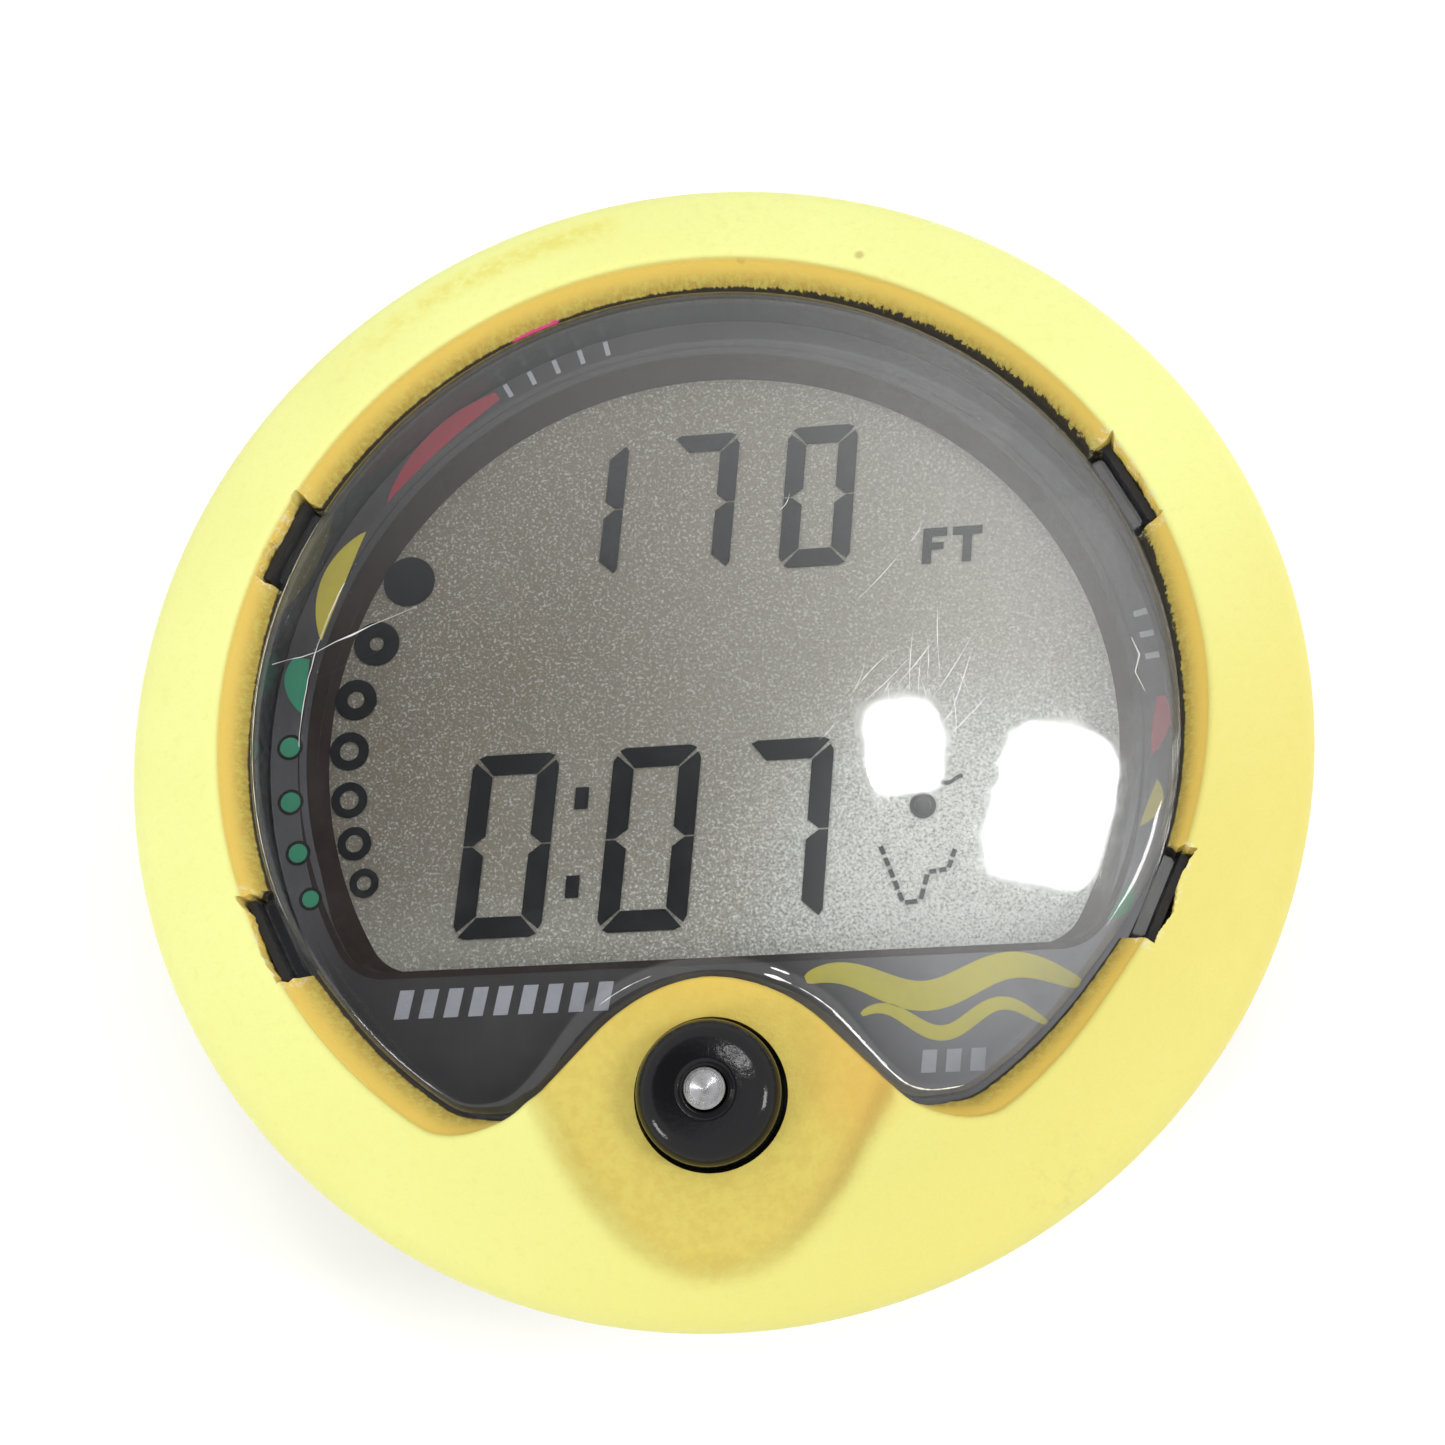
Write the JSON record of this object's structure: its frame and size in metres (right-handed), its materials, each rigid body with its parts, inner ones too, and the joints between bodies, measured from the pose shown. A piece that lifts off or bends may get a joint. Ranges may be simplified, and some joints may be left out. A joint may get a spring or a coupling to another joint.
{
  "type": "dive computer",
  "caption": "Round puck dive computer module with a soft yellow trim ring, a clear lens over a digit display, one push button and a bayonet battery hatch.",
  "frame": {"origin": "centre of the flat back face", "axes": "+Z out of the display face, +Y to twelve o'clock of the dial, +X to three o'clock"},
  "size_m": [0.076, 0.076, 0.0291],
  "materials": {
    "black_case": "moulded black plastic, fine texture",
    "yellow_rubber": "soft yellow elastomer, matt, slightly soiled",
    "clear_lens": "clear polished plastic",
    "clear_guard": "clear polished plastic, scratched",
    "black_rubber": "black nitrile",
    "printed_mask": "dark grey print with coloured marks",
    "display_frame": "dark brown-black plastic",
    "display_cell": "grey-green display with a fine sparkle",
    "display_film": "grey film",
    "reflector": "brushed silver film",
    "contact_rubber": "pink silicone with dark stripes",
    "green_board": "green solder mask",
    "black_chip": "moulded epoxy",
    "gold_contact": "gold plated spring alloy",
    "steel": "turned stainless steel",
    "brass": "turned brass",
    "hatch_plastic": "dark grey glass-filled plastic",
    "red_rubber": "red-brown silicone",
    "gloss_black": "polished black",
    "red_plastic": "red moulded plastic"
  },
  "bodies": {
    "case": {"lower_case": "black_case", "upper_case": "black_case", "bezel_ring": "yellow_rubber", "lens": "clear_lens", "lens_guard": "clear_guard", "lens_seal": "black_rubber", "dial_mask": "printed_mask", "lcd_frame": "display_frame", "lcd_glass": "display_cell", "lcd_polariser": "display_film", "lcd_reflector": "reflector", "zebra_strips": "contact_rubber", "circuit_board": "green_board", "board_chips": "black_chip", "crystal_can": "steel", "board_screws": "steel", "piezo_disc": "brass", "pressure_sensor": "steel", "sensor_seal": "black_rubber", "port_filter": "steel", "contact_pin": "gold_contact", "battery": "steel", "battery_leaf_minus": "gold_contact", "battery_clip_plus": "gold_contact", "battery_bar": "steel", "bar_screws": "steel", "hatch_cover": "hatch_plastic", "hatch_seal": "red_rubber", "stem_bush": "brass", "button_spring": "steel", "switch_body": "black_chip"},
    "button": {"button_cap": "gloss_black", "button_stem": "steel", "stem_seals": "black_rubber", "stem_clip": "steel"},
    "plunger": {"switch_plunger": "red_plastic"},
    "hatch": {"hatch_ring": "hatch_plastic"}
  },
  "joints": [
    {"name": "button_push", "type": "slide", "parent": "case", "child": "button", "axis": [0, 0, -1], "range_m": [0, 0.0012], "stiffness_N_per_m": 1500, "deforming": ["button_spring"]},
    {"name": "switch_press", "type": "slide", "parent": "case", "child": "plunger", "axis": [0, 0, -1], "range_m": [0, 0.0012]},
    {"name": "hatch_ring_turn", "type": "hinge", "parent": "case", "child": "hatch", "pos_m": [0, 0, 0.0015], "axis": [0, 0, 1], "range_deg": [0, 15]}
  ],
  "couplings": [
    {"joint": "switch_press", "follows": "button_push", "ratio": 1}
  ]
}
